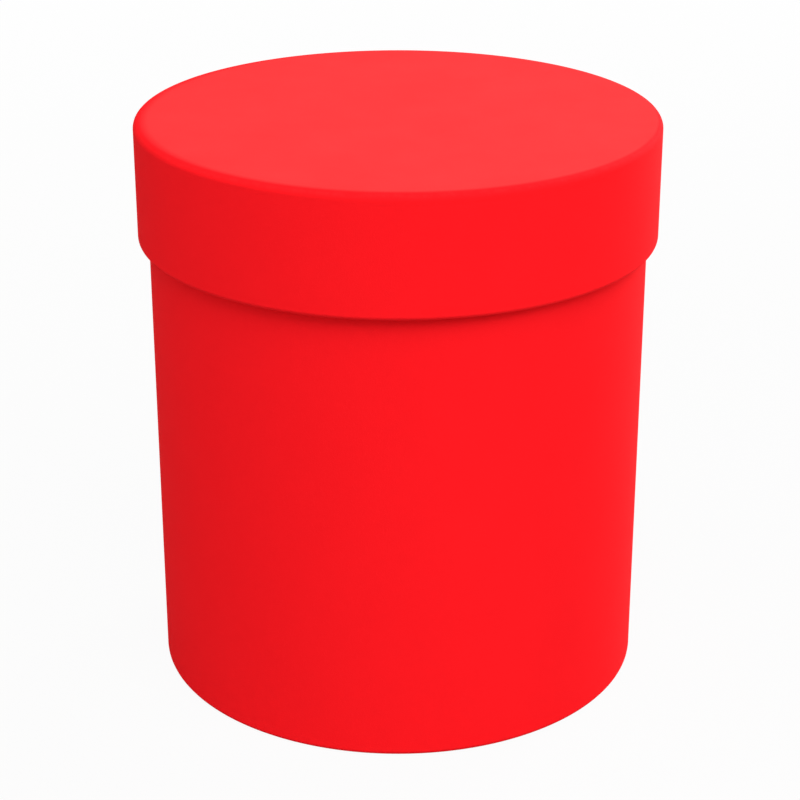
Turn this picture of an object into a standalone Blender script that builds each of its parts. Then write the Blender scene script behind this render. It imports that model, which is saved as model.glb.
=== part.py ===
"""Round box with a lift-off lid: board covered in red paper.

The box is built as a box maker builds it. Two wound board hoops and two board
discs carry everything. Covering paper is wrapped round the outside, turned in
over the edges and snipped into flaps wherever it is folded onto a smaller
circle. Lining paper hides the board inside. All sizes are in metres, +Z is up,
and the origin is the middle of the foot.
"""

import math

import bmesh
import bpy

# Driving dimensions
BODY_DIAMETER = 0.150
OVERALL_HEIGHT = 0.175
LID_HEIGHT = 0.036

# Stock
WALL_BOARD = 0.0015
DISC_BOARD = 0.0020
PAPER = 0.00015
GLUE_GAP = 0.0003

# Fit of the lid on the base
LID_SIDE_CLEARANCE = 0.0004
LID_REST_GAP = 0.0003

# Base: eased edges, and how far its papers reach
FOOT_EASING = 0.0010
RIM_EASING = 0.0004
RIM_TURN_IN = 0.017
FOOT_TURN_UNDER = 0.012
FOOT_PAPER_INSET = 0.003
LINING_OVERLAP = 0.008
LINING_STEP_LENGTH = 0.0008

# Lid: rounded and eased edges, and how far its papers reach
DISC_ROUNDING = 0.00165
LID_FOOT_EASING = 0.0004
FLAP_LENGTH = 0.012
STRIP_TURN_IN = 0.014

# Notches that let a folded edge lie flat on a smaller circle
NOTCH_COUNT = 24
NOTCH_ROOT_MARGIN = 0.0025
CUT_OVERRUN = 0.0002

# Lap seams, where the two ends of a wrapped strip overlap
LAP_WIDTH = 0.010
LAP_RISE = 0.0010
LAP_STEP = 0.00005
BASE_LAP_ANGLE = math.radians(90)
LID_LAP_ANGLE = math.radians(84)
LINING_LAP_ANGLE = math.radians(60)

# Facets
SEGMENTS = 60
CHAMFER_STEPS = 1
SMALL_BEND_STEPS = 2
BEND_STEPS = 3
ROUNDING_STEPS = 4
SMOOTH_ANGLE = math.radians(30)
SAME_RADIUS_SHARE = 0.1
COLUMN_ROOM_SHARE = 0.1

# Directions in a section, in degrees: away from the box's axis is 0, up is 90
OUT = 0
UP = 90
IN = 180
DOWN = 270
TUCK = -60

# An eased edge never takes more than this share of its board
EDGE_LIMIT_SHARE = 0.45
ROUNDING_LIMIT_SHARE = 0.9

# Worked out: one layer of glued paper, and the radii of the base, from outside in
LAYER = PAPER + GLUE_GAP
BODY_RADIUS = BODY_DIAMETER / 2
HOOP_OUTER = BODY_RADIUS - LAYER
HOOP_INNER = HOOP_OUTER - WALL_BOARD
TURNED_IN_FACE = HOOP_INNER - LAYER
FOOT_BEND = min(FOOT_EASING, WALL_BOARD * ROUNDING_LIMIT_SHARE)
RIM_BEND = min(RIM_EASING, WALL_BOARD * EDGE_LIMIT_SHARE)

# Radii of the lid, from inside out
LID_BORE = BODY_RADIUS + LID_SIDE_CLEARANCE
LID_HOOP_INNER = LID_BORE + LAYER
LID_HOOP_OUTER = LID_HOOP_INNER + WALL_BOARD
DISC_RADIUS = LID_HOOP_OUTER + LAYER
LID_RADIUS = DISC_RADIUS + LAYER
LID_FOOT_BEND = min(LID_FOOT_EASING, WALL_BOARD * EDGE_LIMIT_SHARE)
STRIP_OUTER_BEND = LID_FOOT_BEND + LID_RADIUS - LID_HOOP_OUTER
DISC_BEND = min(DISC_ROUNDING, DISC_BOARD * ROUNDING_LIMIT_SHARE)

# Heights of the base, from the floor up
UNDER_FACE = LAYER
HOOP_FOOT = UNDER_FACE + LAYER
FLOOR_TOP = HOOP_FOOT + DISC_BOARD
RIM_TOP = OVERALL_HEIGHT - LAYER - DISC_BOARD - LAYER - LID_REST_GAP
HOOP_TOP = RIM_TOP - LAYER

# Heights of the lid above its own lower edge
LID_HOOP_FOOT = LAYER
DISC_TOP = LID_HEIGHT - LAYER
DISC_FOOT = DISC_TOP - DISC_BOARD
LID_HOOP_TOP = DISC_FOOT - GLUE_GAP

# Finishes: linear colour and roughness
RED_PAPER = ((0.92, 0.006, 0.010), 0.75)
LINING_PAPER = ((0.82, 0.80, 0.75), 0.8)
GREY_BOARD = ((0.34, 0.31, 0.27), 0.9)


def clear_scene():
    for thing in list(bpy.data.objects):
        bpy.data.objects.remove(thing, do_unlink=True)


def make_material(name, finish):
    colour, roughness = finish
    material = bpy.data.materials.new(name)
    material.use_nodes = True
    shader = material.node_tree.nodes["Principled BSDF"]
    shader.inputs["Base Color"].default_value = (*colour, 1)
    shader.inputs["Roughness"].default_value = roughness
    shader.inputs["Metallic"].default_value = 0
    material.diffuse_color = (*colour, 1)
    return material


def make_frame(name, height):
    """An empty on the box's axis that carries one half of the box."""
    frame = bpy.data.objects.new(name, None)
    frame.location = (0, 0, height)
    bpy.context.scene.collection.objects.link(frame)
    return frame


def arc(centre_radius, centre_height, bend, start, end, steps):
    """Points of a bend in the (radius, height) plane, the shorter way round."""
    sweep = (end - start + 180) % 360 - 180
    points = []
    for step in range(steps + 1):
        angle = math.radians(start + sweep * step / steps)
        points.append(
            (centre_radius + bend * math.cos(angle), centre_height + bend * math.sin(angle))
        )
    return points


def sheet(path):
    """Section of one layer of paper: its seen face out, its glued face back."""
    return path(0) + list(reversed(path(PAPER)))


def rectangle(inner, outer, foot, top):
    return [(inner, foot), (outer, foot), (outer, top), (inner, top)]


def lap_columns(radius, angle):
    """Four columns of a lap seam: the ramp up, then the cut edge down."""
    half = LAP_WIDTH / 2 / radius
    return [
        (angle - half - LAP_RISE / radius, 0),
        (angle - half, 1),
        (angle + half, 1),
        (angle + half + LAP_STEP / radius, 0),
    ]


def ring_columns(radius, lap_angle):
    """Angles round the ring, each with 1 inside the lap seam and 0 elsewhere."""
    spacing = math.tau / SEGMENTS
    even = [index * spacing for index in range(SEGMENTS)]
    if lap_angle is None:
        return [(angle, 0) for angle in even]
    columns = lap_columns(radius, lap_angle)
    ramp_start, ramp_end, cut_edge, seam_end = [edge for edge, _ in columns]
    room = spacing * COLUMN_ROOM_SHARE
    for angle in even:
        if angle < ramp_start - room or angle > seam_end + room:
            columns.append((angle, 0))
        elif ramp_end + room < angle < cut_edge - room:
            columns.append((angle, 1))
    return sorted(columns)


def ring_of_points(bm, radius, height, columns, growth):
    """One turn of a section's point. A point on the axis is a single vertex."""
    if radius == 0:
        return [bm.verts.new((0, 0, height))]
    ring = []
    for angle, lap in columns:
        reach = radius + growth * lap
        ring.append(bm.verts.new((reach * math.cos(angle), reach * math.sin(angle), height)))
    return ring


def join_rings(bm, first, second):
    count = max(len(first), len(second))
    for index in range(count):
        after = (index + 1) % count
        if len(first) == 1:
            bm.faces.new((first[0], second[after], second[index]))
        elif len(second) == 1:
            bm.faces.new((first[index], first[after], second[0]))
        else:
            bm.faces.new((first[index], first[after], second[after], second[index]))


def turn(name, section, carrier, finish, lap_angle=None, lapped_faces=(), growth=PAPER):
    """Turn a closed section round the box's axis into one solid.

    A strip of paper has a lap seam: at lap_angle its faces at the radii in
    lapped_faces grow by one more layer, outward or, for a lining, inward.
    """
    mesh = bpy.data.meshes.new(name)
    bm = bmesh.new()
    columns = ring_columns(lapped_faces[0] if lapped_faces else None, lap_angle)
    rings = []
    for radius, height in section:
        lapped = any(abs(radius - face) < PAPER * SAME_RADIUS_SHARE for face in lapped_faces)
        rings.append(ring_of_points(bm, radius, height, columns, growth if lapped else 0))
    for first, second in zip(rings, rings[1:] + rings[:1]):
        if len(first) > 1 or len(second) > 1:
            join_rings(bm, first, second)
    bmesh.ops.recalc_face_normals(bm, faces=bm.faces)
    bm.to_mesh(mesh)
    bm.free()
    mesh.shade_smooth()
    mesh.set_sharp_from_angle(angle=SMOOTH_ANGLE)
    piece = bpy.data.objects.new(name, mesh)
    bpy.context.scene.collection.objects.link(piece)
    piece.parent = carrier
    mesh.materials.append(make_material(name, finish))
    return piece


def notch(bm, angle, root, mouth, half_width):
    """One V cutter: root and mouth are each two (radius, height) corners."""

    def place(radius, height, side):
        return bm.verts.new(
            (
                radius * math.cos(angle) - side * math.sin(angle),
                radius * math.sin(angle) + side * math.cos(angle),
                height,
            )
        )

    root_ends = [place(radius, height, 0) for radius, height in root]
    left_ends = [place(radius, height, -half_width) for radius, height in mouth]
    right_ends = [place(radius, height, half_width) for radius, height in mouth]
    for end in (0, 1):
        bm.faces.new((root_ends[end], left_ends[end], right_ends[end]))
    for edge, following in (
        (root_ends, left_ends),
        (left_ends, right_ends),
        (right_ends, root_ends),
    ):
        bm.faces.new((edge[0], edge[1], following[1], following[0]))


def cut_notches(piece, carrier, root, mouth, fold_length):
    """Snip flaps into a folded edge.

    The notches take out what the fold has too much of: a sheet folded over by
    fold_length onto a circle is longer than the circle by tau times that.
    """
    root_to_mouth = math.dist(root[0], mouth[0])
    half_width = math.pi * fold_length / NOTCH_COUNT
    half_width *= root_to_mouth / (root_to_mouth - CUT_OVERRUN)
    mesh = bpy.data.meshes.new(piece.name + "_notches")
    bm = bmesh.new()
    for index in range(NOTCH_COUNT):
        angle = math.tau * (index + 0.5) / NOTCH_COUNT
        notch(bm, angle, root, mouth, half_width)
    bmesh.ops.recalc_face_normals(bm, faces=bm.faces)
    bm.to_mesh(mesh)
    bm.free()
    cutter = bpy.data.objects.new(piece.name + "_notches", mesh)
    bpy.context.scene.collection.objects.link(cutter)
    cutter.parent = carrier
    cutter.hide_render = True
    cutter.display_type = "WIRE"
    cut = piece.modifiers.new("notches", "BOOLEAN")
    cut.operation = "DIFFERENCE"
    cut.solver = "EXACT"
    cut.object = cutter


def make_base_wall_hoop(base):
    """Wound board tube, eased where the covering paper bends round it."""
    section = arc(
        HOOP_OUTER - FOOT_BEND, HOOP_FOOT + FOOT_BEND, FOOT_BEND, DOWN, OUT, SMALL_BEND_STEPS
    )
    rim = HOOP_TOP - RIM_BEND
    section += arc(HOOP_OUTER - RIM_BEND, rim, RIM_BEND, OUT, UP, CHAMFER_STEPS)
    section += arc(HOOP_INNER + RIM_BEND, rim, RIM_BEND, UP, IN, CHAMFER_STEPS)
    section.append((HOOP_INNER, HOOP_FOOT))
    turn("base_wall_hoop", section, base, GREY_BOARD)


def base_wrap_path(depth):
    """Line of the base's covering paper, depth below its seen face."""
    fold_start = HOOP_OUTER - FOOT_TURN_UNDER
    foot_bend = FOOT_BEND + LAYER - depth
    rim_bend = RIM_BEND + LAYER - depth
    rim = HOOP_TOP - RIM_BEND
    line = [(fold_start, UNDER_FACE + depth)]
    line += arc(
        HOOP_OUTER - FOOT_BEND, HOOP_FOOT + FOOT_BEND, foot_bend, DOWN, OUT, BEND_STEPS
    )
    line += arc(HOOP_OUTER - RIM_BEND, rim, rim_bend, OUT, UP, SMALL_BEND_STEPS)
    line += arc(HOOP_INNER + RIM_BEND, rim, rim_bend, UP, IN, SMALL_BEND_STEPS)
    line.append((TURNED_IN_FACE + depth, RIM_TOP - RIM_TURN_IN))
    return line


def make_base_wrap(base):
    """Covering paper: wall, turn-in over the rim, snipped turn-under at the foot."""
    wrap = turn(
        "base_wrap", sheet(base_wrap_path), base, RED_PAPER, BASE_LAP_ANGLE, (BODY_RADIUS,)
    )
    root_radius = HOOP_OUTER - FOOT_BEND - NOTCH_ROOT_MARGIN
    mouth_radius = HOOP_OUTER - FOOT_TURN_UNDER - CUT_OVERRUN
    below = UNDER_FACE - CUT_OVERRUN
    above = UNDER_FACE + PAPER + CUT_OVERRUN
    cut_notches(
        wrap,
        base,
        root=[(root_radius, below), (root_radius, above)],
        mouth=[(mouth_radius, below), (mouth_radius, above)],
        fold_length=FOOT_TURN_UNDER,
    )


def wall_lining_path(depth):
    """Line of the wall lining, which steps out below the turned-in paper."""
    over_turn_in = TURNED_IN_FACE - LAYER + depth
    on_board = TURNED_IN_FACE + depth
    step_top = RIM_TOP - RIM_TURN_IN - GLUE_GAP
    return [
        (over_turn_in, RIM_TOP - RIM_TURN_IN + LINING_OVERLAP),
        (over_turn_in, step_top),
        (on_board, step_top - LINING_STEP_LENGTH),
        (on_board, FLOOR_TOP + GLUE_GAP),
    ]


def make_base_inside(base):
    """Floor board, and the linings of the wall and the floor."""
    floor_radius = HOOP_INNER - GLUE_GAP
    turn("base_floor_board", rectangle(0, floor_radius, HOOP_FOOT, FLOOR_TOP), base, GREY_BOARD)
    turn(
        "base_wall_lining",
        sheet(wall_lining_path),
        base,
        LINING_PAPER,
        LINING_LAP_ANGLE,
        (TURNED_IN_FACE, TURNED_IN_FACE - LAYER),
        -PAPER,
    )
    lining_radius = TURNED_IN_FACE - PAPER - GLUE_GAP
    lining_foot = FLOOR_TOP + GLUE_GAP
    turn(
        "base_floor_lining",
        rectangle(0, lining_radius, lining_foot, lining_foot + PAPER),
        base,
        LINING_PAPER,
    )


def make_base_foot_paper(base):
    """Disc that hides the snipped flaps: the box stands on it."""
    turn("base_foot_paper", rectangle(0, BODY_RADIUS - FOOT_PAPER_INSET, 0, PAPER), base, RED_PAPER)


def make_lid_boards(lid):
    """Wound hoop, and the disc glued on it with its top edge rounded off."""
    foot = LID_HOOP_FOOT + LID_FOOT_BEND
    section = arc(LID_HOOP_INNER + LID_FOOT_BEND, foot, LID_FOOT_BEND, IN, DOWN, CHAMFER_STEPS)
    section += arc(LID_HOOP_OUTER - LID_FOOT_BEND, foot, LID_FOOT_BEND, DOWN, OUT, CHAMFER_STEPS)
    section += [(LID_HOOP_OUTER, LID_HOOP_TOP), (LID_HOOP_INNER, LID_HOOP_TOP)]
    turn("lid_hoop", section, lid, GREY_BOARD)

    disc = [(0, DISC_FOOT), (DISC_RADIUS, DISC_FOOT)]
    disc += arc(
        DISC_RADIUS - DISC_BEND, DISC_TOP - DISC_BEND, DISC_BEND, OUT, UP, ROUNDING_STEPS
    )
    disc.append((0, DISC_TOP))
    turn("lid_disc", disc, lid, GREY_BOARD)


def top_cover_path(depth):
    """Line of the top's covering paper: flat, rolled over, tucked in, turned down.

    The disc stands out past the hoop by one layer, so the paper tucks in under
    it and the rim's strip can lie flush over the flaps.
    """
    offset = LAYER - depth
    line = [(0, LID_HEIGHT - depth)]
    line += arc(
        DISC_RADIUS - DISC_BEND,
        DISC_TOP - DISC_BEND,
        DISC_BEND + offset,
        UP,
        OUT,
        ROUNDING_STEPS,
    )
    line += arc(DISC_RADIUS, DISC_FOOT, offset, OUT, TUCK, SMALL_BEND_STEPS)
    flap_radius = LID_HOOP_OUTER + offset
    tuck_radius, tuck_height = line[-1]
    tuck_drop = (tuck_radius - flap_radius) / math.tan(math.radians(-TUCK))
    line.append((flap_radius, tuck_height - tuck_drop))
    line.append((flap_radius, DISC_FOOT - FLAP_LENGTH))
    return line


def make_lid_top_cover(lid):
    """Covering paper of the top, with snipped flaps turned down onto the hoop."""
    cover = turn("lid_top_cover", sheet(top_cover_path), lid, RED_PAPER)
    root_height = top_cover_path(0)[-2][1] - NOTCH_ROOT_MARGIN
    mouth_height = DISC_FOOT - FLAP_LENGTH - CUT_OVERRUN
    inside = LID_HOOP_OUTER + GLUE_GAP - CUT_OVERRUN
    outside = LID_HOOP_OUTER + LAYER + CUT_OVERRUN
    cut_notches(
        cover,
        lid,
        root=[(inside, root_height), (outside, root_height)],
        mouth=[(inside, mouth_height), (outside, mouth_height)],
        fold_length=FLAP_LENGTH,
    )


def rim_wrap_path(depth):
    """Line of the rim's strip: down the outside, round the foot, up the inside."""
    seam_height = top_cover_path(0)[-3][1] - GLUE_GAP
    outer_bend = STRIP_OUTER_BEND - depth
    inner_bend = LID_FOOT_BEND + LAYER - depth
    line = [(LID_RADIUS - depth, seam_height)]
    line += arc(
        LID_RADIUS - STRIP_OUTER_BEND, STRIP_OUTER_BEND, outer_bend, OUT, DOWN, SMALL_BEND_STEPS
    )
    line += arc(
        LID_HOOP_INNER + LID_FOOT_BEND,
        LID_HOOP_FOOT + LID_FOOT_BEND,
        inner_bend,
        DOWN,
        IN,
        SMALL_BEND_STEPS,
    )
    line.append((LID_BORE + depth, STRIP_TURN_IN))
    return line


def make_lid_rim_wrap(lid):
    """Strip that covers the flaps, turned in at the lid's lower edge."""
    turn("lid_rim_wrap", sheet(rim_wrap_path), lid, RED_PAPER, LID_LAP_ANGLE, (LID_RADIUS,))


def make_lid_linings(lid):
    """Lining strip above the turned-in paper, then the disc under the board."""
    strip = rectangle(
        LID_BORE, LID_BORE + PAPER, STRIP_TURN_IN + GLUE_GAP, DISC_FOOT - GLUE_GAP
    )
    turn("lid_rim_lining", strip, lid, LINING_PAPER)
    top = DISC_FOOT - GLUE_GAP
    disc = rectangle(0, LID_BORE - GLUE_GAP, top - PAPER, top)
    turn("lid_top_lining", disc, lid, LINING_PAPER)


def build():
    clear_scene()
    base = make_frame("base", 0)
    make_base_wall_hoop(base)
    make_base_wrap(base)
    make_base_inside(base)
    make_base_foot_paper(base)

    lid = make_frame("lid", OVERALL_HEIGHT - LID_HEIGHT)
    make_lid_boards(lid)
    make_lid_top_cover(lid)
    make_lid_rim_wrap(lid)
    make_lid_linings(lid)


build()
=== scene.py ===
import math

import bmesh
import bpy
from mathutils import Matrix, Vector


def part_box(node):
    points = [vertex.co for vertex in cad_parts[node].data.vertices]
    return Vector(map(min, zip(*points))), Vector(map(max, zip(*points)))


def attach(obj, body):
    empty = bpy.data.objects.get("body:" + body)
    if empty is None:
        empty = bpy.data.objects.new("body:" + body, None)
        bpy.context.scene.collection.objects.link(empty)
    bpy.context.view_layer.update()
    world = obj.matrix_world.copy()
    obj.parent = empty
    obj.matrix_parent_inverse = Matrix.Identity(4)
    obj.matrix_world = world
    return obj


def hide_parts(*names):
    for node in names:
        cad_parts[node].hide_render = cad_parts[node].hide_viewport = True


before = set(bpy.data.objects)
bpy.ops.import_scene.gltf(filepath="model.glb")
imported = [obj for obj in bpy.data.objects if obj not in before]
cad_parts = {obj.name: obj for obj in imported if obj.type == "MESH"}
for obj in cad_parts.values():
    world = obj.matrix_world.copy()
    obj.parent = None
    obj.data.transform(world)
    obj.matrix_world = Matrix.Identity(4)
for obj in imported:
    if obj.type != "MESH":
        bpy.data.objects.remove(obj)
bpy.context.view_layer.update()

# Base hoop
# The wall of the box is a hoop of wound greyboard. Its ends are cut square, and the
# edges that the paper folds round are eased, so that the paper doesn't split there.

around = 288
paper = 0.00015
touching = 0.00001
same_place = 0.000004
sharp_from = math.radians(40)

_, wrap_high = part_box("base_wrap")
_, foot_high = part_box("base_foot_paper")
body_radius = wrap_high.x
rim_height = wrap_high.z
bore_radius = 0.0726
flap_height = foot_high.z + touching
foot_bend = 0.00145
rim_bend = 0.00085

strand_sharpness = 40
patch_contrast = 4
patch_level = 1.6
fibre_relief = 0.35
ply_spacing = 0.00042
ply_waver_scale = 900
ply_waver = 0.7
ply_sharpness = 7
ply_strength = 0.55
grey_shade = (0.29, 0.262, 0.225)
grey_tint = (0.37, 0.338, 0.295)
grey_fleck = (0.52, 0.49, 0.44)
grey_ply = (0.12, 0.105, 0.085)


def new_effect(name, inputs, outputs):
    """A node group with its inputs and outputs, for an effect that materials share."""
    effect = bpy.data.node_groups.new(name, "ShaderNodeTree")
    for label, kind, value in inputs:
        socket = effect.interface.new_socket(label, in_out="INPUT", socket_type=kind)
        if value is not None:
            socket.default_value = value
    for label in outputs:
        effect.interface.new_socket(label, in_out="OUTPUT", socket_type="NodeSocketFloat")
    start = effect.nodes.new("NodeGroupInput")
    end = effect.nodes.new("NodeGroupOutput")
    return effect, start.outputs, end.inputs


def fill_socket(tree, socket, value):
    """Sets a socket to a number, or links another node's result to it."""
    if isinstance(value, (int, float)):
        socket.default_value = value
    else:
        tree.links.new(value, socket)


def work_out(tree, operation, *values, clamp=False):
    """One Math node, with its result."""
    node = tree.nodes.new("ShaderNodeMath")
    node.operation = operation
    node.use_clamp = clamp
    for socket, value in zip(node.inputs, values):
        fill_socket(tree, socket, value)
    return node.outputs[0]


def add_speckle(tree, place, scale, detail, roughness):
    """A Noise node, with its result."""
    node = tree.nodes.new("ShaderNodeTexNoise")
    node.inputs["Detail"].default_value = detail
    node.inputs["Roughness"].default_value = roughness
    tree.links.new(place, node.inputs["Vector"])
    fill_socket(tree, node.inputs["Scale"], scale)
    return node.outputs["Fac"]


def split_place(tree, place):
    """The radius and the height of a place on the round box."""
    parts = tree.nodes.new("ShaderNodeSeparateXYZ")
    tree.links.new(place, parts.inputs[0])
    across = work_out(tree, "MULTIPLY", parts.outputs["X"], parts.outputs["X"])
    along = work_out(tree, "MULTIPLY_ADD", parts.outputs["Y"], parts.outputs["Y"], across)
    return work_out(tree, "SQRT", along), parts.outputs["Z"]


def make_pulp():
    """Pressed pulp, as in paper and board: its tooth, loose fibres and cloudiness."""
    inputs = [
        ("Place", "NodeSocketVector", None),
        ("Tooth Scale", "NodeSocketFloat", 2600),
        ("Fibre Scale", "NodeSocketFloat", 420),
        ("Cloud Scale", "NodeSocketFloat", 60),
    ]
    effect, given, made = new_effect("pulp", inputs, ("Height", "Fibre", "Cloud"))
    place = given["Place"]
    tooth = add_speckle(effect, place, given["Tooth Scale"], detail=4, roughness=0.65)
    strands = add_speckle(effect, place, given["Fibre Scale"], detail=2, roughness=0.55)
    cloud = add_speckle(effect, place, given["Cloud Scale"], detail=3, roughness=0.5)
    off_strand = work_out(effect, "SUBTRACT", strands, 0.5)
    off_strand = work_out(effect, "ABSOLUTE", off_strand)
    strand = work_out(effect, "MULTIPLY_ADD", off_strand, -strand_sharpness, 1, clamp=True)
    patch = work_out(effect, "MULTIPLY_ADD", tooth, patch_contrast, -patch_level, clamp=True)
    fibre = work_out(effect, "MULTIPLY", strand, patch)
    height = work_out(effect, "MULTIPLY_ADD", fibre, fibre_relief, tooth)
    effect.links.new(height, made["Height"])
    effect.links.new(fibre, made["Fibre"])
    effect.links.new(cloud, made["Cloud"])
    return effect


def make_plies():
    """The plies that show on a cut edge of board, wound round a hoop or laid flat."""
    inputs = [
        ("Place", "NodeSocketVector", None),
        ("Facing", "NodeSocketVector", None),
        ("Laid Flat", "NodeSocketFloat", 0),
        ("Spacing", "NodeSocketFloat", ply_spacing),
    ]
    effect, given, made = new_effect("plies", inputs, ("Line",))
    radius, height = split_place(effect, given["Place"])
    facing = effect.nodes.new("ShaderNodeSeparateXYZ")
    effect.links.new(given["Facing"], facing.inputs[0])
    upright = work_out(effect, "ABSOLUTE", facing.outputs["Z"])
    wound = work_out(effect, "SUBTRACT", 1, given["Laid Flat"])
    through = work_out(effect, "MULTIPLY", radius, wound)
    through = work_out(effect, "MULTIPLY_ADD", height, given["Laid Flat"], through)
    waver = add_speckle(effect, given["Place"], ply_waver_scale, detail=2, roughness=0.5)
    through = work_out(effect, "DIVIDE", through, given["Spacing"])
    through = work_out(effect, "MULTIPLY_ADD", waver, ply_waver, through)
    share = work_out(effect, "PINGPONG", through, 0.5)
    line = work_out(effect, "MULTIPLY_ADD", share, -ply_sharpness, 1, clamp=True)
    side = work_out(effect, "SUBTRACT", 1, upright)
    side = work_out(effect, "MULTIPLY", side, given["Laid Flat"])
    cut = work_out(effect, "MULTIPLY_ADD", upright, wound, side)
    effect.links.new(work_out(effect, "MULTIPLY", line, cut), made["Line"])
    return effect


pulp = make_pulp()
plies = make_plies()


def mix_colour(tree, share, first, second):
    """A colour mix between two colours, each given as a socket or as its numbers."""
    node = tree.nodes.new("ShaderNodeMix")
    node.data_type = "RGBA"
    fill_socket(tree, node.inputs[0], share)
    for socket, colour in ((node.inputs[6], first), (node.inputs[7], second)):
        if isinstance(colour, tuple):
            socket.default_value = (*colour, 1)
        else:
            tree.links.new(colour, socket)
    return node.outputs[2]


def pulp_finish(name, colours, fleck_share, matt, bump_height, scales):
    """Paper or board: two close tones by its cloudiness, with its fibres as flecks."""
    finish = bpy.data.materials.new(name)
    finish.use_nodes = True
    tree = finish.node_tree
    shader = tree.nodes["Principled BSDF"]
    place = tree.nodes.new("ShaderNodeTexCoord").outputs["Object"]
    surface = tree.nodes.new("ShaderNodeGroup")
    surface.node_tree = pulp
    tree.links.new(place, surface.inputs["Place"])
    for label, scale in zip(("Tooth Scale", "Fibre Scale", "Cloud Scale"), scales):
        surface.inputs[label].default_value = scale
    shade, tint, fleck = colours
    tone = mix_colour(tree, surface.outputs["Cloud"], shade, tint)
    flecks = work_out(tree, "MULTIPLY", surface.outputs["Fibre"], fleck_share)
    tone = mix_colour(tree, flecks, tone, fleck)
    tree.links.new(tone, shader.inputs["Base Color"])
    low, high = matt
    roughness = work_out(tree, "MULTIPLY_ADD", surface.outputs["Height"], high - low, low)
    tree.links.new(roughness, shader.inputs["Roughness"])
    bump = tree.nodes.new("ShaderNodeBump")
    bump.inputs["Strength"].default_value = 1
    bump.inputs["Distance"].default_value = bump_height
    tree.links.new(surface.outputs["Height"], bump.inputs["Height"])
    tree.links.new(bump.outputs["Normal"], shader.inputs["Normal"])
    return finish


def greyboard_finish(name, laid_flat):
    """Greyboard with its plies as darker lines on the cut edges."""
    finish = pulp_finish(
        name,
        (grey_shade, grey_tint, grey_fleck),
        fleck_share=0.5,
        matt=(0.82, 0.96),
        bump_height=0.00006,
        scales=(1500, 260, 70),
    )
    tree = finish.node_tree
    shader = tree.nodes["Principled BSDF"]
    seat = tree.nodes.new("ShaderNodeTexCoord")
    edges = tree.nodes.new("ShaderNodeGroup")
    edges.node_tree = plies
    edges.inputs["Laid Flat"].default_value = laid_flat
    tree.links.new(seat.outputs["Object"], edges.inputs["Place"])
    tree.links.new(seat.outputs["Normal"], edges.inputs["Facing"])
    board_tone = shader.inputs["Base Color"].links[0].from_socket
    share = work_out(tree, "MULTIPLY", edges.outputs["Line"], ply_strength)
    tone = mix_colour(tree, share, board_tone, grey_ply)
    tree.links.new(tone, shader.inputs["Base Color"])
    return finish


wound_greyboard = greyboard_finish("wound_greyboard", 0)
flat_greyboard = greyboard_finish("flat_greyboard", 1)


def start_ring(name, radius, height):
    """A circle of points in edit mode, from which a wall is pulled ring by ring."""
    bpy.ops.object.select_all(action="DESELECT")
    bpy.ops.mesh.primitive_circle_add(vertices=around, radius=radius, location=(0, 0, height))
    bpy.ops.object.transform_apply(location=True, rotation=True, scale=True)
    bpy.context.object.name = name
    bpy.ops.object.mode_set(mode="EDIT")
    bpy.ops.mesh.select_mode(type="EDGE")
    bpy.ops.mesh.select_all(action="SELECT")


def widen(share):
    """Moves the selected points out from the box's axis, or in towards it."""
    bpy.ops.transform.resize(value=(share, share, 1), center_override=(0, 0, 0))


def pull_through(places):
    """Pulls the selected ring through places, each a radius and a height."""
    for (radius, height), (new_radius, new_height) in zip(places, places[1:]):
        rise = (0, 0, new_height - height)
        bpy.ops.mesh.extrude_edges_move(TRANSFORM_OT_translate={"value": rise})
        widen(new_radius / radius)


def select_parts(kind, test):
    """Selects the points, edges or faces that pass a test, and nothing else."""
    bpy.ops.mesh.select_mode(type=kind)
    bpy.ops.mesh.select_all(action="DESELECT")
    data = bpy.context.object.data
    mesh = bmesh.from_edit_mesh(data)
    parts = {"VERT": mesh.verts, "EDGE": mesh.edges, "FACE": mesh.faces}[kind]
    for part in parts:
        part.select = test(part)
    mesh.select_flush_mode()
    bmesh.update_edit_mesh(data)


def is_at(point, radius, height):
    """True for a point at this radius and this height."""
    off_radius = abs(point.co.xy.length - radius)
    off_height = abs(point.co.z - height)
    return max(off_radius, off_height) < same_place


def round_fold(radius, height, bend, steps=6):
    """Rounds a sharp fold, found by its radius and height."""
    select_parts("EDGE", lambda edge: all(is_at(point, radius, height) for point in edge.verts))
    bpy.ops.mesh.bevel(offset=bend, segments=steps, affect="EDGES")


def hand_over(piece, finish, body, node):
    """Shades a finished piece evenly, gives it its material and body, and hides its CAD node."""
    bpy.ops.object.shade_smooth_by_angle(angle=sharp_from)
    even = piece.modifiers.new("even_shading", "WEIGHTED_NORMAL")
    even.keep_sharp = True
    bpy.ops.object.modifier_apply(modifier=even.name)
    piece.data.materials.append(finish)
    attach(piece, body)
    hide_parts(node)


def face_outwards(inside=False):
    """Turns all faces of the piece in edit mode outwards, or inwards."""
    bpy.ops.mesh.select_all(action="SELECT")
    bpy.ops.mesh.normals_make_consistent(inside=inside)


def make_hoop(name, outer, inner, low, high, folds):
    """A hoop of board, with the edges that the paper folds over eased."""
    start_ring(name, outer, low)
    pull_through([(outer, low), (outer, high), (inner, high), (inner, low), (outer, low)])
    bpy.ops.mesh.select_all(action="SELECT")
    bpy.ops.mesh.remove_doubles(threshold=same_place)
    for radius, height, bend in folds:
        round_fold(radius, height, bend)
    face_outwards()
    bpy.ops.object.mode_set(mode="OBJECT")
    return bpy.context.object


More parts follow.
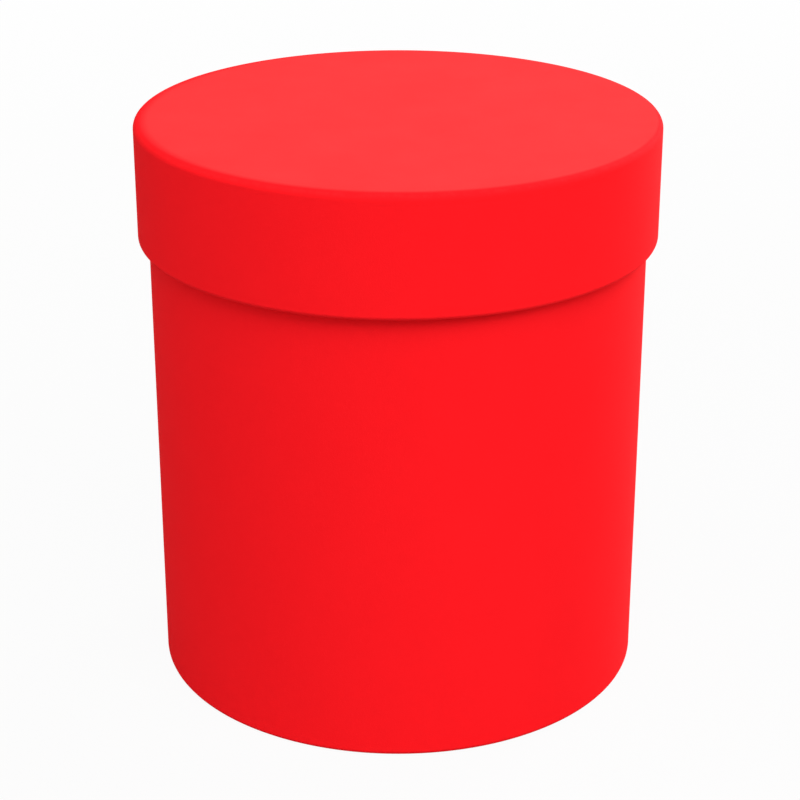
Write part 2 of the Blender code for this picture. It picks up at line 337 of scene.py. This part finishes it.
behind_paper = paper + touching
hoop_outer = body_radius - behind_paper
hoop_inner = bore_radius + behind_paper
hoop_low = flap_height + behind_paper
hoop_high = rim_height - behind_paper
base_hoop = make_hoop(
    "base_hoop",
    hoop_outer,
    hoop_inner,
    hoop_low,
    hoop_high,
    [
        (hoop_outer, hoop_low, foot_bend - behind_paper),
        (hoop_outer, hoop_high, rim_bend - behind_paper),
        (hoop_inner, hoop_high, rim_bend - behind_paper),
    ],
)
hand_over(base_hoop, wound_greyboard, "base", "base_wall_hoop")

# Floor board
# The floor is a disc die-cut from flat greyboard. It is glued into the foot of the
# hoop, level with its end.

floor_height = 0.0032
board_ease = 0.0002
board_inset = 0.12
flat_facing = 0.999


def make_board_disc(name, radius, low, high, top_bend):
    """A disc of board: a flat cylinder, its edges eased, its faces inset."""
    bpy.ops.object.select_all(action="DESELECT")
    bpy.ops.mesh.primitive_cylinder_add(
        vertices=around,
        radius=radius,
        depth=high - low,
        end_fill_type="NGON",
        location=(0, 0, (high + low) / 2),
    )
    bpy.ops.object.transform_apply(location=True, rotation=True, scale=True)
    piece = bpy.context.object
    piece.name = name
    bpy.ops.object.mode_set(mode="EDIT")
    round_fold(radius, high, top_bend, steps=8)
    round_fold(radius, low, board_ease, steps=2)
    select_parts("FACE", lambda face: abs(face.normal.z) > flat_facing)
    bpy.ops.mesh.inset(thickness=radius * board_inset, use_individual=True)
    bpy.ops.mesh.poke()
    bpy.ops.object.mode_set(mode="OBJECT")
    return piece


floor_board = make_board_disc(
    "floor_board",
    hoop_inner - touching,
    hoop_low,
    floor_height - paper - 2 * touching,
    board_ease,
)
hand_over(floor_board, flat_greyboard, "base", "base_floor_board")

# Covering paper of the base
# One sheet of red paper, pasted round the hoop with its ends lapped at the back. It is
# turned in over the rim, and snipped into flaps that are turned under the foot.

turn_in_depth = 0.017
fold_start_radius = 0.0625
notch_count = 24
notch_depth = 0.0085
notch_share = 0.97
pleat_heights = (rim_height - 0.004, rim_height - 0.0085)
pleat_lift = 0.00007
pleat_step = 17
pleat_cycle = 61
pleat_group = 9
lap_width = 0.010
lap_ramp = 0.0012
lap_cut = 0.00008
lap_above = 0.4
base_lap_angle = math.radians(90.4)

red_shade = (0.935, 0.0076, 0.0124)
red_tint = (0.965, 0.0086, 0.0136)
red_fleck = (0.97, 0.012, 0.018)
red_gloss = 0.055
rubbed_red = (0.96, 0.045, 0.05)
rubbing_share = 0.2
rubbing_reach = 0.001
wear_scale = 350
wear_contrast = 3
wear_level = 1.3
# A pale tone mixed into the red on what faces up. It is partly a faint dusting and partly a
# painted sheen, which stands in for the brighter top lit from above. It fades out before the
# lid's rim, and sooner on the left, as painted shade where the light falls off.
dust_and_sheen_tone = (0.95, 0.66, 0.60)
dust_and_sheen_share = 0.03
dust_and_sheen_scale = 60
dust_and_sheen_unevenness = 0.5
upward_slope = 10
sheen_rim_radius = 0.0774
sheen_fade_width = 0.0024
sheen_left_shift = 0.0012


def make_rubbing():
    """Where an edge that runs round the box is rubbed: a broken band along it."""
    inputs = [
        ("Place", "NodeSocketVector", None),
        ("Edge Radius", "NodeSocketFloat", body_radius),
        ("Edge Height", "NodeSocketFloat", 0),
        ("Reach", "NodeSocketFloat", rubbing_reach),
    ]
    effect, given, made = new_effect("rubbing", inputs, ("Rubbed",))
    radius, height = split_place(effect, given["Place"])
    out = work_out(effect, "SUBTRACT", radius, given["Edge Radius"])
    up = work_out(effect, "SUBTRACT", height, given["Edge Height"])
    square = work_out(effect, "MULTIPLY", out, out)
    square = work_out(effect, "MULTIPLY_ADD", up, up, square)
    off = work_out(effect, "DIVIDE", work_out(effect, "SQRT", square), given["Reach"])
    near = work_out(effect, "SUBTRACT", 1, off, clamp=True)
    wear = add_speckle(effect, given["Place"], wear_scale, detail=5, roughness=0.7)
    wear = work_out(effect, "MULTIPLY_ADD", wear, wear_contrast, -wear_level, clamp=True)
    effect.links.new(work_out(effect, "MULTIPLY", near, wear), made["Rubbed"])
    return effect


def make_dust_and_sheen():
    """A faint dusting and a painted sheen in clouds on what faces up, fading out before a rim,
    sooner on its left.
    """
    inputs = [
        ("Place", "NodeSocketVector", None),
        ("Facing", "NodeSocketVector", None),
        ("Rim Radius", "NodeSocketFloat", sheen_rim_radius),
        ("Fade Width", "NodeSocketFloat", sheen_fade_width),
    ]
    effect, given, made = new_effect("dust_and_painted_sheen", inputs, ("Dust And Sheen",))
    shifted = effect.nodes.new("ShaderNodeMapping")
    effect.links.new(given["Place"], shifted.inputs["Vector"])
    shifted.inputs["Location"].default_value = (-sheen_left_shift, 0, 0)
    radius, _ = split_place(effect, shifted.outputs["Vector"])
    inwards = work_out(effect, "SUBTRACT", given["Rim Radius"], radius)
    inside_fade = work_out(effect, "DIVIDE", inwards, given["Fade Width"], clamp=True)
    facing = effect.nodes.new("ShaderNodeSeparateXYZ")
    effect.links.new(given["Facing"], facing.inputs[0])
    upward = facing.outputs["Z"]
    upward = work_out(effect, "MULTIPLY_ADD", upward, upward_slope, 1 - upward_slope, clamp=True)
    cloud = add_speckle(effect, given["Place"], dust_and_sheen_scale, detail=4, roughness=0.6)
    cloud = work_out(effect, "MULTIPLY_ADD", cloud, dust_and_sheen_unevenness, 1 - dust_and_sheen_unevenness / 2)
    dust_and_sheen_mask = work_out(effect, "MULTIPLY", upward, cloud)
    effect.links.new(work_out(effect, "MULTIPLY", dust_and_sheen_mask, inside_fade), made["Dust And Sheen"])
    return effect


rubbing = make_rubbing()
dust_and_sheen_group = make_dust_and_sheen()


def red_paper_finish(name, edges):
    """Red paper dyed through, with a faint dusting and painted sheen on what faces up, a little
    rubbed along edges.
    """
    finish = pulp_finish(
        name,
        (red_shade, red_tint, red_fleck),
        fleck_share=0.3,
        matt=(0.84, 0.98),
        bump_height=0.00006,
        scales=(2600, 420, 60),
    )
    tree = finish.node_tree
    shader = tree.nodes["Principled BSDF"]
    shader.inputs["Specular IOR Level"].default_value = red_gloss
    seat = tree.nodes.new("ShaderNodeTexCoord").outputs
    tone = shader.inputs["Base Color"].links[0].from_socket
    dust_and_sheen_node = tree.nodes.new("ShaderNodeGroup")
    dust_and_sheen_node.node_tree = dust_and_sheen_group
    tree.links.new(seat["Object"], dust_and_sheen_node.inputs["Place"])
    tree.links.new(seat["Normal"], dust_and_sheen_node.inputs["Facing"])
    # Mixes in the faint dusting and the painted sheen on what faces up.
    share = work_out(tree, "MULTIPLY", dust_and_sheen_node.outputs["Dust And Sheen"], dust_and_sheen_share)
    tone = mix_colour(tree, share, tone, dust_and_sheen_tone)
    for edge_radius, edge_height in edges:
        rubbed = tree.nodes.new("ShaderNodeGroup")
        rubbed.node_tree = rubbing
        rubbed.inputs["Edge Radius"].default_value = edge_radius
        rubbed.inputs["Edge Height"].default_value = edge_height
        tree.links.new(seat["Object"], rubbed.inputs["Place"])
        share = work_out(tree, "MULTIPLY", rubbed.outputs["Rubbed"], rubbing_share)
        tone = mix_colour(tree, share, tone, rubbed_red)
    tree.links.new(tone, shader.inputs["Base Color"])
    return finish


def at_notch(point):
    """True at the points of a snipped edge where a V notch has its root."""
    turns = math.atan2(point.co.y, point.co.x) / math.tau * notch_count
    return abs(turns - round(turns)) * around / notch_count < 0.5


def lap_ends(radius, middle, seen):
    """Lays one end of a strip over the other, with a soft rise and then a cut edge."""
    half = lap_width / 2 / radius
    start = middle - half
    end = middle + half
    for angle in (start - lap_ramp / radius, start, end, end + lap_cut / radius):
        side = Vector((math.cos(angle), math.sin(angle), 0))
        select_parts("FACE", lambda face: face.calc_center_median().dot(side) > 0)
        across = (-side.y, side.x, 0)
        bpy.ops.mesh.bisect(plane_co=(0, 0, 0), plane_no=across, threshold=same_place)
    slack = lap_cut / radius / 2

    def on_upper_end(point):
        off_middle = math.atan2(point.co.y, point.co.x) - middle
        return abs(off_middle) < half + slack and seen(point)

    select_parts("VERT", on_upper_end)
    bpy.ops.transform.shrink_fatten(value=paper)


def give_thickness():
    """Makes the sheet in edit mode solid paper, behind its seen face."""
    bpy.ops.object.mode_set(mode="OBJECT")
    piece = bpy.context.object
    sheet = piece.modifiers.new("paper", "SOLIDIFY")
    sheet.thickness = paper
    sheet.offset = -1
    sheet.use_even_offset = True
    bpy.ops.object.modifier_apply(modifier=sheet.name)
    return piece


base_red = red_paper_finish(
    "red_paper_of_base", ((body_radius, flap_height), (body_radius, rim_height))
)
start_ring("base_covering", fold_start_radius, flap_height)
pull_through(
    [
        (fold_start_radius, flap_height),
        (fold_start_radius + notch_depth, flap_height),
        (body_radius, flap_height),
        (body_radius, rim_height),
        (bore_radius, rim_height),
        (bore_radius, pleat_heights[0]),
        (bore_radius, pleat_heights[1]),
        (bore_radius, rim_height - turn_in_depth),
    ]
)
round_fold(body_radius, flap_height, foot_bend)
round_fold(body_radius, rim_height, rim_bend)
round_fold(bore_radius, rim_height, rim_bend)

select_parts(
    "VERT", lambda point: at_notch(point) and point.co.xy.length < fold_start_radius + same_place
)
widen(1 + notch_depth * notch_share / fold_start_radius)


def on_pleat(point):
    """True at the points of the turned-in paper that gather into small pleats."""
    column = round(math.atan2(point.co.y, point.co.x) / math.tau * around)
    gathered = column * pleat_step % pleat_cycle < pleat_group and column % 2 == 0
    return gathered and any(is_at(point, bore_radius, height) for height in pleat_heights)


select_parts("VERT", on_pleat)
widen(1 - pleat_lift / bore_radius)
face_outwards()


def on_wall_or_rim(point):
    """True where the lap is seen: on the wall, over the rim and down to the pleats."""
    above_foot = point.co.z > flap_height + foot_bend * lap_above
    inside = point.co.xy.length < bore_radius + same_place
    return above_foot and not (inside and point.co.z < pleat_heights[1] + same_place)


lap_ends(body_radius, base_lap_angle, on_wall_or_rim)
base_covering = give_thickness()
hand_over(base_covering, base_red, "base", "base_wrap")

# Foot paper
# A disc of the same red paper is pasted under the foot, a little smaller than the box.
# It hides the snipped flaps, whose notches press through it, and the box stands on it.

foot_paper_radius = foot_high.x
notch_print_depth = 0.00008
notch_print_rings = (0.95, 0.91, 0.87)
foot_rings = (0.985, *notch_print_rings, 0.85)
inner_rings = (0.6, 0.3, 0.02)


def make_disc(name, radius, height, rings, face_up):
    """A flat disc of paper, made of rings that close at its middle."""
    start_ring(name, radius, height)
    pull_through([(radius * share, height) for share in (1, *rings, *inner_rings)])
    bpy.ops.mesh.merge(type="CENTER")
    face_outwards()
    mesh = bmesh.from_edit_mesh(bpy.context.object.data)
    mesh.faces.ensure_lookup_table()
    if (mesh.faces[0].normal.z > 0) != face_up:
        bpy.ops.mesh.flip_normals()


make_disc("foot_disc", foot_paper_radius, 0, foot_rings, False)
printed_radii = [foot_paper_radius * share for share in notch_print_rings]
select_parts(
    "VERT",
    lambda point: at_notch(point) and any(is_at(point, radius, 0) for radius in printed_radii),
)
bpy.ops.transform.translate(value=(0, 0, notch_print_depth))
foot_disc = give_thickness()
hand_over(foot_disc, base_red, "base", "base_foot_paper")

# Lining of the base
# A strip of plain uncoated paper is pasted round inside the wall. Its upper edge lies
# over the turned-in red paper, its foot is turned on to the floor, and a disc covers that.

lining_top = 0.1628
lining_foot_reach = 0.066
lining_bend = 0.0004
step_length = 0.0008
base_lining_lap = math.radians(60)
plain_rings = (0.985, 0.9)

lining_shade = (0.79, 0.765, 0.705)
lining_tint = (0.835, 0.815, 0.765)
lining_fleck = (0.60, 0.53, 0.43)

lining_paper = pulp_finish(
    "lining_paper",
    (lining_shade, lining_tint, lining_fleck),
    fleck_share=0.35,
    matt=(0.84, 0.96),
    bump_height=0.00004,
    scales=(1900, 330, 80),
)

over_turn_in = bore_radius - behind_paper
turn_in_foot = rim_height - turn_in_depth
lining_foot = floor_height - touching
start_ring("base_lining", over_turn_in, lining_top)
pull_through(
    [
        (over_turn_in, lining_top),
        (over_turn_in, turn_in_foot - touching),
        (bore_radius, turn_in_foot - step_length),
        (bore_radius, lining_foot),
        (lining_foot_reach, lining_foot),
    ]
)
round_fold(bore_radius, lining_foot, lining_bend)
face_outwards(inside=True)
lap_ends(bore_radius, base_lining_lap, lambda point: point.co.z > lining_foot + lining_bend / 2)
base_lining = give_thickness()
hand_over(base_lining, lining_paper, "base", "base_wall_lining")

_, floor_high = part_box("base_floor_lining")
make_disc("floor_lining", floor_high.x, floor_high.z, plain_rings, True)
floor_lining = give_thickness()
hand_over(floor_lining, lining_paper, "base", "base_floor_lining")

# Lid hoop and lid disc
# The lid is a shallower hoop of wound greyboard with a die-cut disc glued on top. The
# disc's upper edge is sanded round, which gives the lid its soft shoulder.

cover_low, cover_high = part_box("lid_top_cover")
strip_low, strip_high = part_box("lid_rim_wrap")
under_low, under_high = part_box("lid_top_lining")
lid_radius = strip_high.x
lid_top = cover_high.z
lid_foot = strip_low.z
lid_bore = 0.07555
shoulder_bend = 0.0021
lid_foot_bend = 0.0013

flap_radius = lid_radius - behind_paper
lid_hoop_outer = flap_radius - behind_paper
lid_hoop_inner = lid_bore + behind_paper
lid_hoop_low = lid_foot + behind_paper
lid_disc_low = under_high.z + touching
lid_hoop = make_hoop(
    "lid_hoop_board",
    lid_hoop_outer,
    lid_hoop_inner,
    lid_hoop_low,
    lid_disc_low - touching,
    [
        (lid_hoop_outer, lid_hoop_low, lid_foot_bend - behind_paper),
        (lid_hoop_inner, lid_hoop_low, rim_bend - behind_paper),
    ],
)
hand_over(lid_hoop, wound_greyboard, "lid", "lid_hoop")

lid_disc = make_board_disc(
    "lid_disc_board",
    flap_radius,
    lid_disc_low,
    lid_top - behind_paper,
    shoulder_bend - behind_paper,
)
hand_over(lid_disc, flat_greyboard, "lid", "lid_disc")

# Covering paper of the lid
# A disc of the red paper is pasted over the lid's top, rolled round its shoulder and
# snipped into flaps that are turned down on to the hoop, behind the rim strip.

flap_foot = cover_low.z
tuck_height = strip_high.z + touching / 2
tuck_drop = touching
cover_rings = (0.96, 0.85, 0.7, 0.5, 0.3, 0.1, 0.01)
rubbed_inset = 0.0006

lid_red = red_paper_finish(
    "red_paper_of_lid",
    ((lid_radius - rubbed_inset, lid_top - rubbed_inset), (lid_radius, lid_foot)),
)
start_ring("lid_covering", flap_radius, flap_foot)
pull_through(
    [
        (flap_radius, flap_foot),
        (flap_radius, flap_foot + notch_depth),
        (flap_radius, tuck_height),
        (lid_radius, tuck_height + tuck_drop),
        (lid_radius, lid_top),
        *((lid_radius * share, lid_top) for share in cover_rings),
    ]
)
bpy.ops.mesh.merge(type="CENTER")
round_fold(lid_radius, lid_top, shoulder_bend, steps=12)
select_parts("VERT", lambda point: at_notch(point) and point.co.z < flap_foot + same_place)
bpy.ops.transform.translate(value=(0, 0, notch_depth * notch_share))
face_outwards()
lid_covering = give_thickness()
hand_over(lid_covering, lid_red, "lid", "lid_top_cover")

# Rim strip of the lid
# A strip of the red paper is pasted round the lid's hoop over the snipped flaps. Its
# lower edge is rolled under and turned in, and its ends lap at the back.

strip_turn_in = 0.014
lid_lining_foot = 0.151
strip_lap_angle = math.radians(84)

start_ring("lid_rim_strip", lid_radius, strip_high.z)
pull_through(
    [
        (lid_radius, strip_high.z),
        (lid_radius, lid_foot),
        (lid_bore, lid_foot),
        (lid_bore, lid_lining_foot - step_length),
        (lid_bore, lid_foot + strip_turn_in),
    ]
)
round_fold(lid_radius, lid_foot, lid_foot_bend)
round_fold(lid_bore, lid_foot, rim_bend)
face_outwards()


def outside_or_below_lining(point):
    """True where the rim strip's lap is seen, and doesn't lie under the lining."""
    return point.co.xy.length > lid_bore + paper or point.co.z < lid_lining_foot


lap_ends(lid_radius, strip_lap_angle, outside_or_below_lining)
lid_rim_strip = give_thickness()
hand_over(lid_rim_strip, lid_red, "lid", "lid_rim_wrap")

# Linings of the lid
# A disc of the lining paper is pasted under the lid's top, and a strip of it round
# inside the rim, where its lower edge lies over the turned-in red paper.

under_lid = under_low.z
make_disc("lid_ceiling", lid_bore - touching, under_lid, plain_rings, False)
lid_ceiling = give_thickness()
hand_over(lid_ceiling, lining_paper, "lid", "lid_top_lining")

strip_edge = lid_foot + strip_turn_in
over_strip = lid_bore - behind_paper
start_ring("lid_lining", over_strip, lid_lining_foot)
pull_through(
    [
        (over_strip, lid_lining_foot),
        (over_strip, strip_edge + touching),
        (lid_bore, strip_edge + step_length),
        (lid_bore, under_lid - touching),
    ]
)
face_outwards(inside=True)
lid_lining = give_thickness()
hand_over(lid_lining, lining_paper, "lid", "lid_rim_lining")

# Studio
# The box stands on a white floor under a dim white sky. One softbox hangs high in front
# of it, a very large one fills from its left, and two stand to its right and behind it.

sky_strength = 0.175
floor_reach = 30
floor_shade = 0.4
pure_white = (1, 1, 1, 1)
white_share = 0.95
white_from = 0.3
white_to = 1.2
softbox_distance = 3.2
aim = Vector((0, 0, lid_top / 2))


def seen_directly(tree):
    """1 where the camera sees something, also through a gloss or glass."""
    path = tree.nodes.new("ShaderNodeLightPath").outputs
    seen = work_out(tree, "ADD", path["Is Camera Ray"], path["Is Glossy Ray"])
    return work_out(tree, "ADD", seen, path["Is Transmission Ray"], clamp=True)


def add_white(tree, share, plain, white, end):
    """Mixes a plain shader with a white one by a share, and links it to the output."""
    mix = tree.nodes.new("ShaderNodeMixShader")
    tree.links.new(share, mix.inputs[0])
    tree.links.new(plain.outputs[0], mix.inputs[1])
    tree.links.new(white.outputs[0], mix.inputs[2])
    tree.links.new(mix.outputs[0], tree.nodes[end].inputs["Surface"])


def add_softbox(name, azimuth, elevation, size, power):
    """A round softbox aimed at the box, from degrees to the right and above the floor."""
    turn = math.radians(azimuth)
    rise = math.radians(elevation)
    away = Vector((math.sin(turn), -math.cos(turn), math.tan(rise))).normalized()
    bpy.ops.object.light_add(type="AREA", location=aim + away * softbox_distance)
    softbox = bpy.context.object
    softbox.name = name
    softbox.rotation_euler = away.to_track_quat("Z", "Y").to_euler()
    softbox.data.shape = "DISK"
    softbox.data.size = size
    softbox.data.energy = power


bpy.ops.object.select_all(action="DESELECT")
bpy.ops.mesh.primitive_plane_add(size=2 * floor_reach, location=(0, 0, -touching))
studio_floor = bpy.context.object
studio_floor.name = "studio_floor"
floor_white = bpy.data.materials.new("floor_white")
floor_white.use_nodes = True
tree = floor_white.node_tree
matt_white = tree.nodes["Principled BSDF"]
matt_white.inputs["Base Color"].default_value = (floor_shade, floor_shade, floor_shade, 1)
matt_white.inputs["Roughness"].default_value = 1
matt_white.inputs["Specular IOR Level"].default_value = 0
glow = tree.nodes.new("ShaderNodeEmission")
seat = tree.nodes.new("ShaderNodeTexCoord").outputs["Object"]
from_box, _ = split_place(tree, seat)
climb = (1 - white_share) / (white_to - white_from)
share = work_out(tree, "SUBTRACT", from_box, white_from, clamp=True)
share = work_out(tree, "MULTIPLY_ADD", share, climb, white_share, clamp=True)
share = work_out(tree, "MULTIPLY", seen_directly(tree), share)
add_white(tree, share, matt_white, glow, "Material Output")
studio_floor.data.materials.append(floor_white)

sky = bpy.data.worlds.new("studio_sky")
bpy.context.scene.world = sky
sky.use_nodes = True
tree = sky.node_tree
sky_light = tree.nodes["Background"]
sky_light.inputs["Color"].default_value = pure_white
sky_light.inputs["Strength"].default_value = sky_strength
backdrop = tree.nodes.new("ShaderNodeBackground")
backdrop.inputs["Color"].default_value = pure_white
add_white(tree, seen_directly(tree), sky_light, backdrop, "World Output")

add_softbox("high_softbox", azimuth=16, elevation=57, size=2.4, power=68)
add_softbox("right_softbox", azimuth=60, elevation=35, size=2.0, power=44)
add_softbox("left_softbox", azimuth=-48, elevation=42, size=4.3, power=58)
add_softbox("back_softbox", azimuth=138, elevation=20, size=1.8, power=92)

# Camera
# The photograph's long lens looks down on the box from the front. Its lens, place and
# tilt were worked out from the ellipses of the lid and of the foot in the photograph.

photo_width = 800
sensor_width = 36
focal_pixels = 2174.3
camera_back = 8.342 * body_radius
camera_height = 4.669 * body_radius
camera_tilt = math.radians(23.15)
axis_off_centre = 2

yaw = -math.atan(axis_off_centre / focal_pixels)
bpy.ops.object.camera_add(
    location=(0, -camera_back, camera_height),
    rotation=(math.radians(90) - camera_tilt, 0, yaw),
)
viewer = bpy.context.object
viewer.data.sensor_width = sensor_width
viewer.data.lens = focal_pixels / photo_width * sensor_width
bpy.context.scene.camera = viewer
bpy.context.scene.view_settings.view_transform = "Standard"
